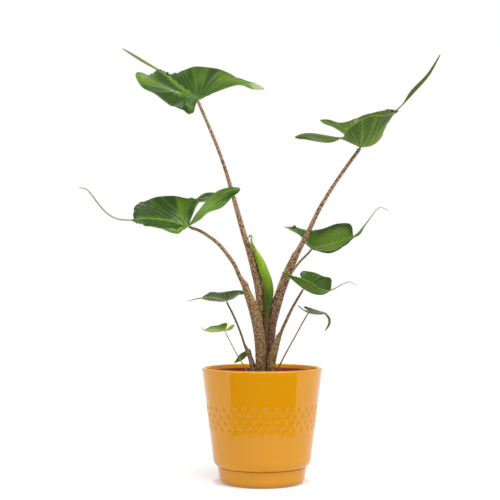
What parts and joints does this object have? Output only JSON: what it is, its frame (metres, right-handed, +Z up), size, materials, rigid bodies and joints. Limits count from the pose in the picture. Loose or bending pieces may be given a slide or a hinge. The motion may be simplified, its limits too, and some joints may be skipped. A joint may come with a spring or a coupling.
{
  "type": "potted alocasia plant",
  "caption": "House plant with long-tailed arrow-shaped leaves on mottled stalks, growing from a nursery pot that stands in a glazed pot.",
  "frame": {"origin": "middle of the glazed pot's base, on the surface that it stands on", "axes": "+Z up, -Y towards the viewer, +X towards the viewer's right"},
  "size_m": [0.4212, 0.1569, 0.5275],
  "materials": {
    "mustard_glaze": "glossy glaze",
    "nursery_plastic": "satin plastic",
    "potting_soil": "rough and crumbly",
    "leaf_green": "satin leaf with paler veins",
    "leaf_pale": "satin leaf",
    "stalk_brown": "satin stalk with dark mottling",
    "new_green": "smooth new leaf"
  },
  "bodies": {
    "root": {"pot": "mustard_glaze", "nursery_pot": "nursery_plastic", "soil": "potting_soil", "blade_1": "leaf_green", "blade_2": "leaf_green", "blade_3": "leaf_green", "blade_4": "leaf_green", "blade_5": "leaf_green", "blade_6": "leaf_green", "blade_7": "leaf_green", "blade_8": "leaf_pale", "petiole_1": "stalk_brown", "petiole_2": "stalk_brown", "petiole_3": "stalk_brown", "petiole_4": "stalk_brown", "petiole_5": "stalk_brown", "petiole_6": "stalk_brown", "petiole_7": "stalk_brown", "petiole_8": "stalk_brown", "rolled_leaf": "new_green", "young_leaf": "leaf_green"}
  },
  "joints": []
}
